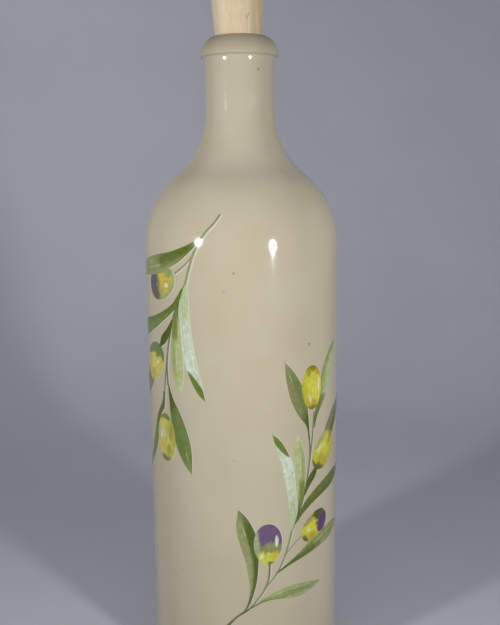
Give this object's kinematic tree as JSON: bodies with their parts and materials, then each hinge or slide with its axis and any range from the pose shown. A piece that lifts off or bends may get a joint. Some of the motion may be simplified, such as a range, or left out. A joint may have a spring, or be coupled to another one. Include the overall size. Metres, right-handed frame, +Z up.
{
  "type": "oil bottle",
  "caption": "Tall round stoneware oil bottle with a domed shoulder, a narrow neck with a rolled collar and a tapered wooden stopper, decorated with olive sprigs.",
  "frame": {"origin": "centre of the bottle's flat underside, on the bottle's own axis", "axes": "+Z up along the bottle's axis, -Y towards the shown side, +X to the right of it"},
  "size_m": [0.0762, 0.0762, 0.2663],
  "materials": {
    "glaze": "glossy warm beige stoneware glaze with a few small iron specks",
    "stopper_wood": "turned pale wood, left bare, with its grain upright"
  },
  "bodies": {
    "root": {"bottle": "glaze", "stopper": "stopper_wood"}
  },
  "joints": []
}
